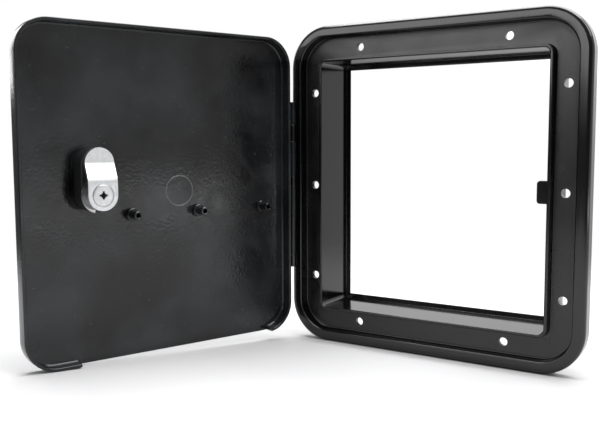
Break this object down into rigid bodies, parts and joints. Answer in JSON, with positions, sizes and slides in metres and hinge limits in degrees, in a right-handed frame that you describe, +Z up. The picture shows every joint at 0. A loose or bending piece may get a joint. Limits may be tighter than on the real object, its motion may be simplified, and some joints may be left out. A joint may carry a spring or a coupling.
{
  "type": "access hatch with lockable door",
  "caption": "Rectangular moulded access hatch: flanged frame with a coaming, side-hinged door and a quarter-turn cam lock with a swivelling dust cover.",
  "frame": {"origin": "middle of the frame on the front face of its screw flange, the centre of the screw holes", "axes": "+X to the side away from the hinge, +Z up along the hinge, +Y into the locker, so the door opens towards -Y"},
  "size_m": [0.2804, 0.2318, 0.2276],
  "materials": {
    "frame_plastic": "satin moulded, finely grained flange, glossier coaming walls",
    "door_plastic": "satin moulded with a fine leather grain",
    "lock_plastic": "satin moulded",
    "gasket_rubber": "matt",
    "zinc_casting": "die-cast, dull",
    "plated_steel": "bright zinc plated pressing",
    "spring_steel": "bright drawn",
    "pin_steel": "stainless, drawn",
    "brass": "nickel-free machined brass"
  },
  "bodies": {
    "frame": {"frame": "frame_plastic", "hinge_pin": "pin_steel"},
    "door": {"door": "door_plastic", "lock_housing": "lock_plastic", "bezel_gasket": "gasket_rubber", "lock_shell": "zinc_casting", "retaining_clip": "spring_steel", "cover_rivet": "pin_steel"},
    "lock_plug": {"lock_plug": "brass", "stop_washer": "plated_steel", "spring_washer": "spring_steel", "cam": "plated_steel", "cam_screw": "plated_steel", "wafer_1": "brass", "wafer_2": "brass", "wafer_3": "brass", "wafer_4": "brass", "wafer_5": "brass", "wafer_spring_1": "spring_steel", "wafer_spring_2": "spring_steel", "wafer_spring_3": "spring_steel", "wafer_spring_4": "spring_steel", "wafer_spring_5": "spring_steel"},
    "dust_cover": {"dust_cover": "lock_plastic"}
  },
  "joints": [
    {"name": "door_hinge", "type": "hinge", "parent": "frame", "child": "door", "pos_m": [-0.1045, -0.009, 0], "axis": [0, 0, 1], "range_deg": [-70, 110]},
    {"name": "lock_turn", "type": "hinge", "parent": "door", "child": "lock_plug", "pos_m": [-0.13718, -0.16312, 0.0008], "axis": [0.9397, -0.342, 0], "range_deg": [0, 90]},
    {"name": "cover_swivel", "type": "hinge", "parent": "door", "child": "dust_cover", "pos_m": [-0.16255, -0.15388, 0.0188], "axis": [-0.9397, 0.342, 0], "continuous": true}
  ]
}
